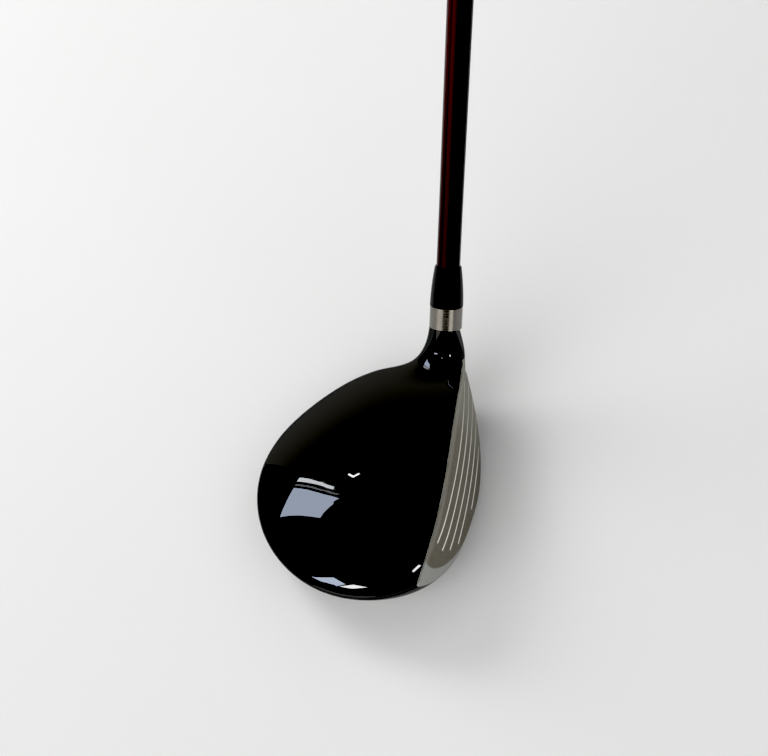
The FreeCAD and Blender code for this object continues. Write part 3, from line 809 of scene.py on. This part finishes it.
# Soft bright patches of the room, as (bearing, elevation, strength).
PATCHES = [(-120, 28, 3.44), (-40, 28, 1.0), (50, 28, 0.45), (100, 28, 0.07)]
PATCH_EDGE = math.cos(math.radians(38))      # a patch fades out this far from its middle
ROOM_IN_REFLECTIONS = (0.12, 0.12, 0.11)
BACKDROP = (0.62, 0.62, 0.61)                # what shows behind the floor


def room_light(sky):
    """How bright the room is in each direction, for matt surfaces."""
    view = sky.add("TexCoord").outputs["Generated"]
    glow = FILL_STRENGTH
    for bearing, elevation, strength in PATCHES:
        nearness = sky.vector("DOT_PRODUCT", view, direction(bearing, elevation))
        glow = sky.math("MULTIPLY_ADD", sky.ramp(nearness, PATCH_EDGE, 1.0), strength, glow)
    return glow


def world():
    """A pale backdrop, soft light from the room's walls, and a dim room in reflections."""
    studio = bpy.data.worlds.new("studio")
    bpy.context.scene.world = studio
    studio.use_nodes = True
    sky = Sky(studio)
    path = sky.add("LightPath")
    shader = sky.background(FILL_COLOR, room_light(sky))
    for ray, color in (("Is Glossy Ray", ROOM_IN_REFLECTIONS), ("Is Camera Ray", BACKDROP)):
        mix = sky.add("MixShader")
        sky.link(path.outputs[ray], mix.inputs[0])
        sky.link(shader.outputs[0], mix.inputs[1])
        sky.link(sky.background(color, 1.0).outputs[0], mix.inputs[2])
        shader = mix
    sky.link(shader.outputs[0], sky.add("OutputWorld").inputs[0])


CAMERA_AZIMUTH = 11.1        # degrees from straight beyond the toe, towards the target
CAMERA_ELEVATION = 50.2
CAMERA_ROLL = -4.135
CAMERA_DISTANCE = 0.8607     # from the origin, and then to the right and up
CAMERA_RIGHT = -0.01706
CAMERA_UP = 0.04488
LENS = 108.93
SENSOR_WIDTH = 36.0


def camera():
    """The eye is beyond the toe, high up, and looks down on the crown."""
    a, e, roll = (math.radians(v) for v in (CAMERA_AZIMUTH, CAMERA_ELEVATION, CAMERA_ROLL))
    back = Vector((math.sin(a) * math.cos(e), -math.cos(a) * math.cos(e), math.sin(e)))
    level = Vector((math.cos(a), math.sin(a), 0))
    upright = back.cross(level)
    right = level * math.cos(roll) + upright * math.sin(roll)
    up = upright * math.cos(roll) - level * math.sin(roll)
    data = bpy.data.cameras.new("camera")
    data.lens = LENS
    data.sensor_width = SENSOR_WIDTH
    data.clip_start = 0.01
    eye = bpy.data.objects.new("camera", data)
    bpy.context.scene.collection.objects.link(eye)
    place = back * CAMERA_DISTANCE + right * CAMERA_RIGHT + up * CAMERA_UP
    eye.matrix_world = Matrix.Translation(place) @ Matrix((right, up, back)).transposed().to_4x4()
    bpy.context.scene.camera = eye


BLACK_LEVEL = 0.03           # light below this share of white is shown as black


def photo_look():
    """The contrast of a small camera: the darkest tones fall to black."""
    view = bpy.context.scene.view_settings
    view.view_transform = "Standard"
    view.use_curve_mapping = True
    view.curve_mapping.black_level = (BLACK_LEVEL, BLACK_LEVEL, BLACK_LEVEL)
    view.curve_mapping.update()


# ---------------------------------------------------------------- the scene
dress_nodes()
head_body()
grip_sleeve()
grip_cap()
floor()
world()
windows()
lights()
camera()
photo_look()
